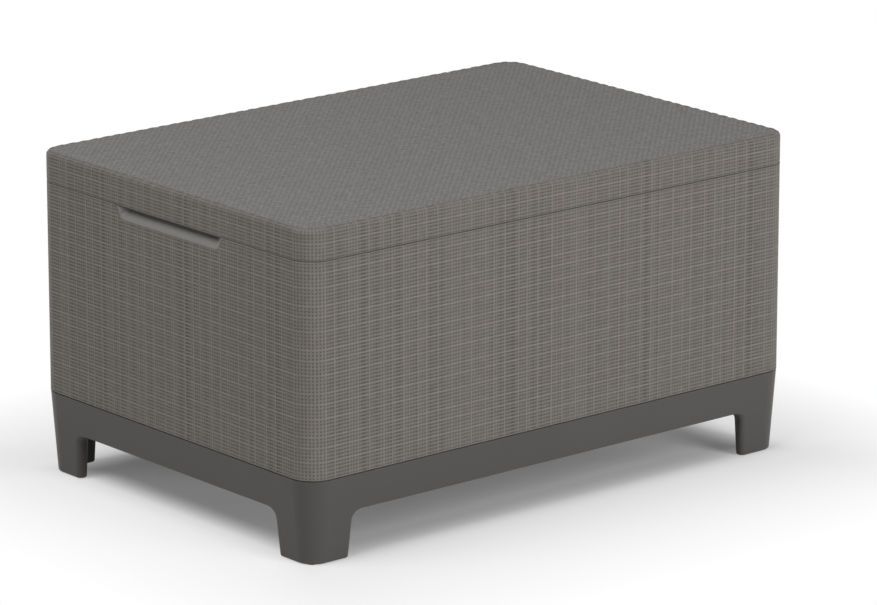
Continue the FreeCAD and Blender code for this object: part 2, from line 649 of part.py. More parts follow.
pieces = [make_wall_shell(), make_floor_panel(), make_base_frame(), make_lid_shell(), make_lid_liner()]
pieces += [make_glide(corner) for corner in CORNERS]
pieces += [make_bumper(corner) for corner in CORNERS]
base_screw = make_screw("base_screw", "base_screw_length")
lid_screw = make_screw("lid_screw", "lid_screw_length")
pieces.append(make_screw_group("base_screws", base_screw, BASE_SCREWS, FLANGE_TOP))
pieces.append(make_screw_group("lid_screws", lid_screw, LID_SCREWS, LID_BOTTOM, head_down=True))

doc.recompute()
failed = [item.Name for item in doc.Objects if "Invalid" in item.State or "Error" in item.State]
if failed:
    raise RuntimeError(f"objects that failed to recompute: {failed}")

solids_wanted = {"base_screws": len(BASE_SCREWS), "lid_screws": len(LID_SCREWS)}
for piece in pieces:
    shape = piece.Shape
    if shape.isNull() or not shape.isValid():
        raise RuntimeError(f"{piece.Label} has no valid shape")
    if len(shape.Solids) != solids_wanted.get(piece.Label, 1):
        raise RuntimeError(f"{piece.Label} has {len(shape.Solids)} solids")

os.makedirs("parts", exist_ok=True)
for piece in pieces:
    piece.Shape.exportStep(f"parts/{piece.Label}.step")
    print(f"{piece.Label}: {len(piece.Shape.Solids)} solids, {piece.Shape.Volume / 1000:.1f} cm3")
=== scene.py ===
import json
import math
import random

import bmesh
import bpy
import numpy as np
from mathutils import Matrix, Vector


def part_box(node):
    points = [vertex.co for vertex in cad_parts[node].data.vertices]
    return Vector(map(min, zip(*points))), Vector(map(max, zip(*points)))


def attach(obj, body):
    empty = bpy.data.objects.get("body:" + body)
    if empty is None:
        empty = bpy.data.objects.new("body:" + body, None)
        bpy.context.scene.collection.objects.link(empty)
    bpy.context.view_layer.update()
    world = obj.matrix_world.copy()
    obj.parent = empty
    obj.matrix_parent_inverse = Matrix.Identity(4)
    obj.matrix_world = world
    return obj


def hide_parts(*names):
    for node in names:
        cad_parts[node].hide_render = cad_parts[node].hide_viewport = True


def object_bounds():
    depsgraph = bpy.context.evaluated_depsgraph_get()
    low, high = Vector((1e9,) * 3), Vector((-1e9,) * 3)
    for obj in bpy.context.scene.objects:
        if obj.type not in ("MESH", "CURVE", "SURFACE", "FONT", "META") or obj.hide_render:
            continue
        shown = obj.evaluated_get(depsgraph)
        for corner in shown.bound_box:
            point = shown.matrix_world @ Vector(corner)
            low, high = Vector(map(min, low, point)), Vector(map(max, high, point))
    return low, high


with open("model.json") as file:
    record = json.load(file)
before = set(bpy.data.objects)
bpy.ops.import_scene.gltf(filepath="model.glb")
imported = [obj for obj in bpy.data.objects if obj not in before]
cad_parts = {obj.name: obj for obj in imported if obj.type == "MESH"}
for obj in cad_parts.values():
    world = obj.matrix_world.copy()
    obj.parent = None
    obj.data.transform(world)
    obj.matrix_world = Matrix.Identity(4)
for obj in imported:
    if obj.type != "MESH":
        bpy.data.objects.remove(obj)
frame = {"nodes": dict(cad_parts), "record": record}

cadLow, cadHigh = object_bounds()
nodes = frame["nodes"]
print("frame loaded with", len(nodes), "nodes")

lidLow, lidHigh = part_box("lid_shell")
wallLow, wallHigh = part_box("wall_shell")

# the outline that lid and wall share, seen from above
outline = {
    "halfLength": lidHigh.x,
    "halfDepth": lidHigh.y,
    "cornerRadius": 0.032,
    "lidEdge": 0.006,  # rounding of the lid's top edge
}
flatX = outline["halfLength"] - outline["cornerRadius"]
flatY = outline["halfDepth"] - outline["cornerRadius"]


# materials

def fromDisplay(red, green, blue):
    # a colour as a screen shows it, turned into the linear one of the shaders
    return tuple((value / 255 / 12.92 if value < 10.3 else ((value / 255 + 0.055) / 1.055) ** 2.4)
                 for value in (red, green, blue)) + (1.0,)


def addNode(tree, kind, values=None, **settings):
    node = tree.nodes.new(kind)
    for key, value in settings.items():
        setattr(node, key, value)
    for key, value in (values or {}).items():
        if isinstance(value, bpy.types.NodeSocket):
            tree.links.new(value, node.inputs[key])
        else:
            node.inputs[key].default_value = value
    return node


def mathNode(tree, operation, first, second=0.0, third=0.0):
    node = addNode(tree, "ShaderNodeMath", {0: first, 1: second, 2: third}, operation=operation)
    return node.outputs[0]


def mixColour(tree, factor, first, second, blend="MIX"):
    node = addNode(tree, "ShaderNodeMix", {"Factor": factor, 6: first, 7: second},
                   data_type="RGBA", blend_type=blend)
    return node.outputs[2]


def newGroup(name, sockets):
    group = bpy.data.node_groups.new(name, "ShaderNodeTree")
    for label, direction, default in sockets:
        socket = group.interface.new_socket(name=label, in_out=direction, socket_type="NodeSocketFloat")
        if default is not None:
            socket.default_value = default
    return group, group.nodes.new("NodeGroupInput").outputs, group.nodes.new("NodeGroupOutput").inputs


grainMix = {
    "fineShare": 0.45,  # the rest is slow drift
    "fineDetail": 2.0,
    "fineRoughness": 0.55,
    "driftDetail": 3.0,
    "driftRoughness": 0.5,
    "shadeSwing": 4.0,
    "roughSwing": 2.0,
}


def noiseNode(tree, place, scale, detail, roughness):
    return addNode(tree, "ShaderNodeTexNoise", {"Vector": place, "Scale": scale, "Detail": detail,
                                                "Roughness": roughness}).outputs["Fac"]


def makeGrainGroup():
    # spark-eroded mould texture: fine pimples, with slow drifts of shade over a hand's width
    group, given, put = newGroup("mouldGrain", [
        ("Grain Scale", "INPUT", 1400.0), ("Drift Scale", "INPUT", 6.0), ("Shade Amount", "INPUT", 0.05),
        ("Rough Middle", "INPUT", 0.5), ("Rough Spread", "INPUT", 0.1),
        ("Shade", "OUTPUT", None), ("Roughness", "OUTPUT", None), ("Height", "OUTPUT", None)])
    place = addNode(group, "ShaderNodeTexCoord").outputs["Object"]
    fine = noiseNode(group, place, given["Grain Scale"], grainMix["fineDetail"], grainMix["fineRoughness"])
    drift = noiseNode(group, place, given["Drift Scale"], grainMix["driftDetail"], grainMix["driftRoughness"])
    slow = mathNode(group, "MULTIPLY", drift, 1 - grainMix["fineShare"])
    both = mathNode(group, "MULTIPLY_ADD", fine, grainMix["fineShare"], slow)
    fromEven = mathNode(group, "SUBTRACT", both, 0.5)
    swing = mathNode(group, "MULTIPLY", fromEven, given["Shade Amount"])
    group.links.new(mathNode(group, "MULTIPLY_ADD", swing, grainMix["shadeSwing"], 1.0), put["Shade"])
    spread = mathNode(group, "MULTIPLY", fromEven, given["Rough Spread"])
    group.links.new(mathNode(group, "MULTIPLY_ADD", spread, grainMix["roughSwing"], given["Rough Middle"]),
                    put["Roughness"])
    group.links.new(fine, put["Height"])
    return group


def threadMask(group, phase, half, softness):
    # one on a thread, whose middle is at a whole number, and nothing in the gap beside it
    away = mathNode(group, "PINGPONG", phase, 0.5)
    ramp = addNode(group, "ShaderNodeMapRange", {
        "Value": away, "From Min": mathNode(group, "SUBTRACT", half, softness),
        "From Max": mathNode(group, "ADD", half, softness), "To Min": 1.0, "To Max": 0.0},
        interpolation_type="SMOOTHSTEP")
    bend = mathNode(group, "POWER", mathNode(group, "DIVIDE", away, half), 2.0)
    crown = mathNode(group, "MAXIMUM", mathNode(group, "SUBTRACT", 1.0, bend), 0.0)
    return ramp.outputs["Result"], crown


# painted shade: the gaps between threads are coloured darker, less where a column crosses them
gapShadeShare = {
    "open": 0.85,  # painted shade in the gap between two rows
    "onColumn": -0.35,  # and what a column in it takes off
}


def makeWeaveGroup():
    # the skins carry a map in thread pitches; rows lie on top, and here and there a column comes up; the gaps
    # between them get painted shade
    group, given, put = newGroup("weavePattern", [
        ("Half Thread", "INPUT", 0.28), ("Softness", "INPUT", 0.06), ("Column Share", "INPUT", 0.8),
        ("Deep Gap Shade", "INPUT", 0.6),
        ("Pit Shade", "OUTPUT", None), ("Tone", "OUTPUT", None), ("Height", "OUTPUT", None)])
    place = addNode(group, "ShaderNodeUVMap", uv_map="weave").outputs["UV"]
    parts = addNode(group, "ShaderNodeSeparateXYZ", {"Vector": place}).outputs
    columnMask, columnCrown = threadMask(group, parts["X"], given["Half Thread"], given["Softness"])
    rowMask, rowCrown = threadMask(group, parts["Y"], given["Half Thread"], given["Softness"])
    rise = addNode(group, "ShaderNodeAttribute", attribute_name="columnRise").outputs["Fac"]
    light = addNode(group, "ShaderNodeAttribute", attribute_name="rowTone").outputs["Fac"]
    column = mathNode(group, "MULTIPLY", columnMask, rise)
    bare = mathNode(group, "SUBTRACT", 1.0, mathNode(group, "MAXIMUM", rowMask, column))
    deep = mathNode(group, "MULTIPLY_ADD", columnMask, gapShadeShare["onColumn"], gapShadeShare["open"])
    # painted shade: the deeper gaps are coloured darker still
    dark = addNode(group, "ShaderNodeAttribute", attribute_name="deepGapShade").outputs["Fac"]
    deep = mathNode(group, "MULTIPLY_ADD", dark, given["Deep Gap Shade"], deep)
    group.links.new(mathNode(group, "MULTIPLY", bare, deep), put["Pit Shade"])
    litRow = mathNode(group, "MULTIPLY", rowMask, light)
    litColumn = mathNode(group, "MULTIPLY", column, given["Column Share"])
    group.links.new(mathNode(group, "MAXIMUM", litRow, litColumn), put["Tone"])
    raised = mathNode(group, "MULTIPLY", columnCrown, rise)
    group.links.new(mathNode(group, "MAXIMUM", rowCrown, raised), put["Height"])
    return group


def makeCheckGroup():
    # plain weave: threads pass over and under in turn, and where one goes under it gets painted shade
    group, given, put = newGroup("checkPattern", [
        ("Under Shade", "INPUT", 0.5),
        ("Pit Shade", "OUTPUT", None), ("Tone", "OUTPUT", None), ("Height", "OUTPUT", None)])
    place = addNode(group, "ShaderNodeUVMap", uv_map="weave").outputs["UV"]
    parts = addNode(group, "ShaderNodeSeparateXYZ", {"Vector": place}).outputs
    waves = [mathNode(group, "COSINE", mathNode(group, "MULTIPLY", parts[axis], math.pi))
             for axis in ("X", "Y")]
    over = mathNode(group, "MULTIPLY", *waves)
    under = mathNode(group, "MAXIMUM", mathNode(group, "MULTIPLY", over, -1.0), 0.0)
    group.links.new(mathNode(group, "MULTIPLY", under, given["Under Shade"]), put["Pit Shade"])
    light = addNode(group, "ShaderNodeAttribute", attribute_name="rowTone").outputs["Fac"]
    group.links.new(mathNode(group, "MULTIPLY", mathNode(group, "MAXIMUM", over, 0.0), light), put["Tone"])
    group.links.new(mathNode(group, "MULTIPLY_ADD", over, 0.5, 0.5), put["Height"])
    return group


grainGroup = makeGrainGroup()
weaveGroup = makeWeaveGroup()
checkGroup = makeCheckGroup()


def startMaterial(name, fixed):
    material = bpy.data.materials.new(name)
    material.use_nodes = True
    tree = material.node_tree
    tree.nodes.clear()
    shader = tree.nodes.new("ShaderNodeBsdfPrincipled")
    for label, value in fixed.items():
        shader.inputs[label].default_value = value
    ending = tree.nodes.new("ShaderNodeOutputMaterial")
    tree.links.new(shader.outputs["BSDF"], ending.inputs["Surface"])
    return material, tree, shader


def placeGroup(tree, group, values):
    node = addNode(tree, "ShaderNodeGroup", node_tree=group)
    for label, value in values.items():
        node.inputs[label].default_value = value
    return node.outputs


def grainValues(grain, drift, shade, middle, spread):
    return {"Grain Scale": grain, "Drift Scale": drift, "Shade Amount": shade,
            "Rough Middle": middle, "Rough Spread": spread}


def shadedColour(tree, colour, level):
    shade = addNode(tree, "ShaderNodeCombineColor", {0: level, 1: level, 2: level}).outputs[0]
    return mixColour(tree, 1.0, colour, shade, "MULTIPLY")


def raiseSurface(tree, shader, height, strength, distance):
    raised = addNode(tree, "ShaderNodeBump", {"Height": height, "Strength": strength, "Distance": distance})
    tree.links.new(raised.outputs["Normal"], shader.inputs["Normal"])


satin = {"IOR": 1.46, "Specular IOR Level": 0.2}
wovenBump = {"grainShare": 0.15, "strength": 0.35, "distance": 0.0004}
wovenLooks = {
    "wovenSides": {
        "pattern": weaveGroup, "values": {"Half Thread": 0.28, "Softness": 0.07},
        "grain": grainValues(900.0, 80.0, 0.1, 0.6, 0.12), "speckle": 0.08,
        "thread": fromDisplay(115, 111, 105), "lightThread": fromDisplay(126, 122, 115),
        # colour of the painted shade in the gaps
        "pitShade": fromDisplay(87, 84, 79)},
    "wovenTop": {
        "pattern": checkGroup, "values": {"Under Shade": 0.5},
        "grain": grainValues(700.0, 140.0, 0.32, 0.6, 0.12), "speckle": 0.17,
        # thread colours greyer and a little lighter than the sides': painted sheen of white light on the top
        "thread": fromDisplay(116, 114, 112), "lightThread": fromDisplay(128, 126, 124),
        # painted shade where threads pass under
        "pitShade": fromDisplay(82, 80, 78)},
}


def makeWovenResin(name):
    look = wovenLooks[name]
    material, tree, shader = startMaterial(name, satin)
    woven = placeGroup(tree, look["pattern"], look["values"])
    grained = placeGroup(tree, grainGroup, look["grain"])
    streak = addNode(tree, "ShaderNodeAttribute", attribute_name="streak").outputs["Fac"]
    colour = mixColour(tree, woven["Tone"], look["thread"], look["lightThread"])
    # painted shade mixed into the gaps
    colour = mixColour(tree, woven["Pit Shade"], colour, look["pitShade"])
    level = mathNode(tree, "MULTIPLY_ADD", streak, look["speckle"], grained["Shade"])
    tree.links.new(shadedColour(tree, colour, level), shader.inputs["Base Color"])
    tree.links.new(grained["Roughness"], shader.inputs["Roughness"])
    height = mathNode(tree, "MULTIPLY_ADD", grained["Height"], wovenBump["grainShare"], woven["Height"])
    raiseSurface(tree, shader, height, wovenBump["strength"], wovenBump["distance"])
    return material


grainedLooks = {
    "smoothResin": {
        "colour": fromDisplay(129, 127, 124), "grain": grainValues(1500.0, 8.0, 0.05, 0.52, 0.1),
        "bump": (0.25, 0.0002), "fixed": satin},
    "baseResin": {
        "colour": fromDisplay(84, 82, 80), "grain": grainValues(1700.0, 5.0, 0.06, 0.42, 0.12),
        "bump": (0.2, 0.0002), "fixed": satin},
    "panelResin": {
        "colour": fromDisplay(98, 96, 93), "grain": grainValues(1100.0, 4.0, 0.08, 0.55, 0.12),
        "bump": (0.35, 0.0002), "fixed": satin},
    "glideResin": {
        "colour": fromDisplay(44, 44, 44), "grain": grainValues(1900.0, 60.0, 0.12, 0.45, 0.2),
        "bump": (0.25, 0.0001), "fixed": {"IOR": 1.48}},
    "softRubber": {
        "colour": fromDisplay(38, 38, 39), "grain": grainValues(2200.0, 90.0, 0.15, 0.75, 0.15),
        "bump": (0.3, 0.0001), "fixed": {"IOR": 1.5}},
    "zincedSteel": {  # zinc plate goes dull in patches
        "colour": fromDisplay(186, 188, 190), "grain": grainValues(2600.0, 240.0, 0.12, 0.38, 0.25),
        "bump": (0.15, 0.0001), "fixed": {"Metallic": 1.0}},
}


def makeGrained(name):
    look = grainedLooks[name]
    material, tree, shader = startMaterial(name, look["fixed"])
    grained = placeGroup(tree, grainGroup, look["grain"])
    tree.links.new(shadedColour(tree, look["colour"], grained["Shade"]), shader.inputs["Base Color"])
    tree.links.new(grained["Roughness"], shader.inputs["Roughness"])
    raiseSurface(tree, shader, grained["Height"], *look["bump"])
    return material


wovenSides, wovenTop = makeWovenResin("wovenSides"), makeWovenResin("wovenTop")
grainedMaterials = {name: makeGrained(name) for name in grainedLooks}
finishes = {"woven_resin": "smoothResin", "base_resin": "baseResin", "panel_resin": "panelResin",
            "screw_steel": "zincedSteel", "glide_resin": "glideResin", "bumper_rubber": "softRubber"}
for subpart in frame["record"]["subparts"]:
    mesh = nodes[subpart["node"]].data
    mesh.materials.clear()
    mesh.materials.append(grainedMaterials[finishes[subpart["material_slot"]]])
print("materials made:", len(grainedMaterials) + len(wovenLooks))


# woven skins over the wall and the lid

weave = {
    "pitch": 0.00446,
    "rowPitch": 0.004535,
    "repeat": 12,  # the light threads come back after this many
    "lightRows": (0, 5, 9),
    "plainTone": 0.25,  # most light on any other row
    "lightColumns": (2, 7, 11),  # counted both ways from the middle of a side
    "lightRise": 0.75,  # a light column comes up at least this far
    "someColumns": 0.75,  # share of the other columns that come up a little
    "someRise": 0.2,
    "someSpread": 0.5,
    "middleColumn": 0.55,  # rise of the columns that lie half on one skin and half on the other
    "darkGaps": 0.22,  # share of the gaps between columns that are deeper, and painted darker as shade
    "darkDeeper": 0.6,  # and by how much
    "halfThread": 0.27,  # half of a thread's width, in pitches
    "mapHalf": 0.28,  # where a thread's edge lies in the map
    "sink": 0.00018,  # a plain row lies this much deeper than a light one
    "sinkSpread": 0.5,
    "pitDepth": 0.00062,
    "pitSpread": 0.3,
    "columnFill": 0.85,  # how far a raised column fills the gaps between rows
    "deepest": 0.00095,
    "seamBevel": 0.0007,  # the lid's lowest row turns in by this much
    "bevelShares": (1.0, 0.45, 0.1),  # line by line
    "plainRows": 2,  # the highest rows of the lid's skirt, none of them light
    "edgeRows": 2,  # rows that go over the lid's rounded edge
    "edgeTeeth": 0.0006,  # there every second pair of columns dips
    "dipColumns": (1, 2),
    "dipRepeat": 4,
    "dipSpread": 0.4,
    "core": 0.0010,  # depth of the smooth core under the skin
    "embed": 0.0013,  # the skin's back, inside the core
    "backStrips": 12,  # strips in the back of the lid's skirt, which bends
    "seamGap": 0.0013,  # open joint between the wall's weave and the base
    "seamDepth": 0.0026,
    "wallLip": 0.0004,  # the wall's weave ends this much above its ledge
    "seed": 41,
}
topWeave = {
    "depth": 0.00046,
    "middle": 0.5,  # shares of that depth
    "over": 0.4,
    "spread": 0.6,
    "plainTone": 0.4,  # light on a thread that isn't one of the light ones
    "easeFrom": 0.8,  # share of the half length from which the threads draw together
}
frontSteps = round(flatX / weave["pitch"])  # pitches from the front's middle to the corner
turnSteps = round(outline["cornerRadius"] * math.pi / 2 / weave["pitch"])
endSteps = 2 * round(flatY / weave["pitch"])
halfRound = 2 * frontSteps + 2 * turnSteps + endSteps


def chance(*words):
    return random.Random(" ".join(str(word) for word in (weave["seed"],) + words)).random()


def fromMiddle(step):
    # pitches from the middle of the side on which a column stands
    corner = frontSteps + turnSteps / 2
    if step < corner:
        return step
    return halfRound - step if step > halfRound - corner else abs(step - halfRound // 2)


def columnRise(side, step):
    if step in (0, halfRound):
        return weave["middleColumn"]
    share = chance("column", side, step)
    if fromMiddle(step) % weave["repeat"] in weave["lightColumns"] or inTurn(step):
        return weave["lightRise"] + (1 - weave["lightRise"]) * share
    return weave["someRise"] + weave["someSpread"] * share if share < weave["someColumns"] else 0.0


def inTurn(step):
    # true in the rounded corners, where rows and columns are equally strong
    fromEnd = min(step, halfRound - step)
    return frontSteps < fromEnd < frontSteps + turnSteps


def gapDark(side, step):
    # the gap that follows a column, deeper and with more painted shade; beside the middle columns there is no
    # deep one
    deeper = 0 < step < halfRound - 1 and not inTurn(step)
    return 1.0 if deeper and chance("gap", side, step) < weave["darkGaps"] else 0.0


def columnDip(side, step):
    dips = step % weave["dipRepeat"] in weave["dipColumns"]
    return 1 - weave["dipSpread"] * chance("under", side, step) if dips else 0.0


def columnLines(side):
    # a column that comes up has two edges, one that stays under the rows a single line
    lines, marks, rises, darks, dips = [], [], [], [], []
    for step in range(halfRound + 1):
        rise = columnRise(side, step)
        before, after = gapDark(side, step - 1), gapDark(side, step)
        for edge, dark in ((-1, before), (1, after)) if rise else ((0, min(before, after)),):
            lines.append(min(max(step + edge * weave["halfThread"], 0), halfRound))
            marks.append(min(max(step + edge * weave["mapHalf"], 0), halfRound))
            rises.append(rise)
            darks.append(dark)
            dips.append(columnDip(side, step))
    return {"lines": np.array(lines), "marks": np.array(marks), "rise": np.array(rises),
            "dark": np.array(darks), "dip": np.array(dips)}


def rowLines(first, count, bevel=0.0, plainRows=0, edgeRows=0):
    # each row of thread has two edges, and a line along the bottom of the gap above it
    lines, marks, tones, gaps, edges = [], [], [], [], []
    for row in range(count + 1):
        light = (first + row) % weave["repeat"] in weave["lightRows"] and row <= count - plainRows
        tone = 1.0 if light else weave["plainTone"] * chance("row", first + row)
        for edge in (-1, 1):
            lines.append(min(max(row + edge * weave["halfThread"], 0), count))
            marks.append(row + edge * weave["mapHalf"])
        lines.append(row + 0.5)
        marks.append(row + 0.5)
        tones += [tone, tone, tone / 2]
        gaps += [False, False, True]
        edges += 3 * [float(row > count - edgeRows)]
    turnedIn = np.zeros(len(lines) - 1)
    turnedIn[:len(weave["bevelShares"])] = np.array(weave["bevelShares"]) * bevel
    return {"lines": np.array(lines[:-1]), "marks": np.array(marks[:-1]), "tone": np.array(tones[:-1]),
            "gap": np.array(gaps[:-1]), "onEdge": np.array(edges[:-1]), "turnedIn": turnedIn}


def wovenDepth(across, up, streak):
    rise, gap = across["rise"][:, None], up["gap"][None, :]
    thread = weave["sink"] * (1 - np.maximum(up["tone"][None, :], rise)) * (1 + weave["sinkSpread"] * streak)
    hollow = weave["pitDepth"] * (1 - weave["columnFill"] * rise) * (1 + weave["pitSpread"] * streak)
    hollow = hollow * (1 + weave["darkDeeper"] * across["dark"][:, None])
    teeth = weave["edgeTeeth"] * across["dip"][:, None] * up["onEdge"][None, :]
    return np.minimum(np.where(gap, hollow, thread) + up["turnedIn"][None, :] + teeth, weave["deepest"])


def topLines(count):
    # two lines to each thread of the plain weave
    lines = np.arange(2 * count + 1) / 2
    light = np.array([1.0 if step // 2 % weave["repeat"] in weave["lightColumns"] else topWeave["plainTone"]
                      for step in range(2 * count + 1)])
    return {"lines": lines, "marks": lines, "rise": light, "tone": light, "dark": 0 * light}


def topDepth(across, up, streak):
    over = np.cos(math.pi * across["lines"])[:, None] * np.cos(math.pi * up["lines"])[None, :]
    share = topWeave["middle"] - topWeave["over"] * over + topWeave["spread"] * (1 + streak)
    return topWeave["depth"] * share


def weaveSkin(name, body, place, across, up, depthRule, backRows, flip, finish):
    # a closed skin: threads outside, a plain back inside the core, narrow strips round the edges
    gridU, gridV = np.meshgrid(across["lines"], up["lines"], indexing="ij")
    backU, backV = np.meshgrid(across["lines"], np.array(backRows, float), indexing="ij")
    streak = np.random.default_rng(weave["seed"]).uniform(-1, 1, gridU.shape)
    threads = place(gridU, gridV, depthRule(across, up, streak))
    back = place(backU, backV, weave["embed"])
    points = np.concatenate([np.stack([part.ravel() for part in layer], axis=1) for layer in (threads, back)])

    spot = np.arange(gridU.size).reshape(gridU.shape)
    backSpot = gridU.size + np.arange(backU.size).reshape(backU.shape)
    faces = np.stack([spot[:-1, :-1], spot[1:, :-1], spot[1:, 1:], spot[:-1, 1:]],
                     axis=-1).reshape(-1, 4).tolist()
    shown = len(faces)
    faces += np.stack([spot[1:, 0], spot[:-1, 0], backSpot[:-1, 0], backSpot[1:, 0]], axis=1).tolist()
    faces += np.stack([spot[:-1, -1], spot[1:, -1], backSpot[1:, -1], backSpot[:-1, -1]], axis=1).tolist()
    faces += np.stack([backSpot[:-1, :-1], backSpot[:-1, 1:], backSpot[1:, 1:], backSpot[1:, :-1]],
                      axis=-1).reshape(-1, 4).tolist()
    faces.append(spot[0].tolist() + backSpot[0, ::-1].tolist())
    faces.append(spot[-1, ::-1].tolist() + backSpot[-1].tolist())
    if flip:
        faces = [face[::-1] for face in faces]

    mesh = bpy.data.meshes.new(name)
    mesh.from_pydata(points.tolist(), [], faces)
    smooth = np.zeros(len(faces), bool)
    smooth[:shown] = True
    mesh.polygons.foreach_set("use_smooth", smooth)
    mapU, mapV = np.meshgrid(across["marks"], up["marks"], indexing="ij")
    behindU, behindV = np.meshgrid(across["marks"], np.array(backRows, float), indexing="ij")
    marks = np.stack([np.concatenate([mapU.ravel(), behindU.ravel()]),
                      np.concatenate([mapV.ravel(), behindV.ravel()])], axis=1)
    owner = np.empty(len(mesh.loops), np.int32)
    mesh.loops.foreach_get("vertex_index", owner)
    mesh.uv_layers.new(name="weave").data.foreach_set("uv", marks[owner].astype(np.float32).ravel())
    plain = np.zeros(backU.size)
    for label, values in (("columnRise", np.repeat(across["rise"], len(up["lines"]))),
                          ("deepGapShade", np.repeat(across["dark"], len(up["lines"]))),
                          ("rowTone", np.tile(up["tone"], len(across["lines"]))), ("streak", streak.ravel())):
        layer = mesh.attributes.new(label, "FLOAT", "POINT")
        layer.data.foreach_set("value", np.concatenate([values, plain]).astype(np.float32))
    mesh.materials.append(finish)
    skin = bpy.data.objects.new(name, mesh)
    bpy.context.scene.collection.objects.link(skin)
    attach(skin, body)
    return skin


def roundTheOutline(u, inset, side):
    # u counts pitches from the middle of the front, round one end, to the middle of the back
    front = np.clip(u / frontSteps, 0, 1)
    firstTurn = np.clip((u - frontSteps) / turnSteps, 0, 1)
    end = np.clip((u - frontSteps - turnSteps) / endSteps, 0, 1)
    lastTurn = np.clip((u - frontSteps - turnSteps - endSteps) / turnSteps, 0, 1)
    backRun = np.clip((u - frontSteps - 2 * turnSteps - endSteps) / frontSteps, 0, 1)
    angle = (firstTurn + lastTurn) * math.pi / 2
    reach = outline["cornerRadius"] - inset
    x = flatX * (front - backRun) + np.sin(angle) * reach
    y = flatY * (2 * end - 1) - np.cos(angle) * reach
    return side * x, y


wallRows = round((wallHigh.z - wallLow.z) / weave["rowPitch"])
skirtRun = lidHigh.z - lidLow.z - outline["lidEdge"]
skirtRows = round((skirtRun + outline["lidEdge"] * math.pi / 2) / weave["rowPitch"])
topX = outline["halfLength"] - outline["lidEdge"]
topY = outline["halfDepth"] - outline["lidEdge"]
topColumns = round(topX / weave["pitch"])
topRows = 2 * round(topY / weave["pitch"])


def wallPlace(side):
    def place(u, v, depth):
        x, y = roundTheOutline(u, depth, side)
        foot = wallLow.z + weave["seamGap"]
        return x, y, foot + v / wallRows * (wallHigh.z + weave["wallLip"] - foot)
    return place


def skirtPlace(side):
    edge = outline["lidEdge"]

    def place(u, v, depth):
        run = v / skirtRows * (skirtRun + edge * math.pi / 2)
        bend = np.clip((run - skirtRun) / edge, 0, math.pi / 2)
        x, y = roundTheOutline(u, edge - (edge - depth) * np.cos(bend), side)
        return x, y, lidLow.z + np.minimum(run, skirtRun) + (edge - depth) * np.sin(bend)
    return place


def topPlace(u, v, depth):
    # towards the two ends the threads draw together where the corners are round
    inner = outline["cornerRadius"] - outline["lidEdge"]
    easeFrom = topWeave["easeFrom"] * topX
    y = (2 * u / topRows - 1) * topY
    past = np.maximum(np.abs(y) - flatY, 0)
    reach = flatX + np.sqrt(np.maximum(inner ** 2 - past ** 2, 0))
    x = (v / topColumns - 1) * topX
    drawn = easeFrom + (np.abs(x) - easeFrom) * (reach - easeFrom) / (topX - easeFrom)
    return np.where(np.abs(x) > easeFrom, np.sign(x) * drawn, x), y, lidHigh.z - depth + 0 * x


close = {"zero": 1e-9, "pastEdge": 1e-7, "onFace": 1e-5, "atFoot": 1e-4}  # metres


def outwards(points):
    # distance from the outline, and the direction away from it
    past = np.abs(points[:, :2]) - np.array([flatX, flatY])
    over = np.maximum(past, 0)
    length = np.linalg.norm(over, axis=1)
    inCorner = length > close["zero"]
    straight = np.where((past[:, :1] > past[:, 1:]), [[1.0, 0.0]], [[0.0, 1.0]])
    way = np.where(inCorner[:, None], over / np.maximum(length, close["zero"])[:, None], straight)
    away = np.where(inCorner, length, past.max(axis=1)) - outline["cornerRadius"]
    return away, way * np.sign(points[:, :2])


def drawnCore(name, nodeName, body, edge, topZ):
    # the moulding itself, its outer faces drawn in by the depth of the weave
    core = bpy.data.objects.new(name, nodes[nodeName].data.copy())
    bpy.context.scene.collection.objects.link(core)
    points = np.empty(3 * len(core.data.vertices))
    core.data.vertices.foreach_get("co", points)
    points = points.reshape(-1, 3)
    away, way = outwards(points)
    sideways = away + edge
    above = points[:, 2] - (topZ - edge)
    onEdge = (sideways > close["pastEdge"]) & (above > close["pastEdge"])
    length = np.hypot(sideways, above)
    fromFace = np.where(onEdge, np.abs(length - edge), np.minimum(np.abs(away), np.abs(above - edge)))
    outer = fromFace < close["onFace"]
    flatTop = ~onEdge & (np.abs(above - edge) < close["onFace"])
    shareSide = np.where(onEdge, sideways / length, np.where(flatTop, 0.0, 1.0))
    shareUp = np.where(onEdge, above / length, np.where(flatTop, 1.0, 0.0))
    deep = np.where(points[:, 2] < wallLow.z + close["atFoot"], weave["seamDepth"], weave["core"])
    shift = np.concatenate([way * shareSide[:, None], shareUp[:, None]], axis=1) * deep[:, None]
    points -= np.where(outer[:, None], shift, 0.0)
    core.data.vertices.foreach_set("co", points.ravel())
    core.data.update()
    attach(core, body)
    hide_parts(nodeName)


scoop = {
    "halfWidth": 0.1065,  # at the wall's top edge
    "bottom": lidLow.z - 0.017,  # the mouth's height under the lid
    "endSlant": math.radians(27),  # lean of the ends
    "corner": 0.009,
    "cornerSteps": 8,
    "above": 0.006,  # the cutter goes on this far above the wall
    "through": 0.004,  # and this far to both sides of its face
}


def scoopOutline():
    # half of the mouth, from above the wall down to the middle of its lower edge, as (y, z)
    slope = math.tan(scoop["endSlant"])
    start = (scoop["halfWidth"] + scoop["above"] * slope, lidLow.z + scoop["above"])
    foot = scoop["halfWidth"] - (lidLow.z - scoop["bottom"]) * slope
    turn = math.pi / 2 - scoop["endSlant"]
    back = scoop["corner"] * math.tan(turn / 2)
    centre = (foot - back, scoop["bottom"] + scoop["corner"])
    angles = [turn * (1 - step / scoop["cornerSteps"]) for step in range(scoop["cornerSteps"] + 1)]
    return [start] + [(centre[0] + scoop["corner"] * math.sin(angle),
                       centre[1] - scoop["corner"] * math.cos(angle)) for angle in angles]


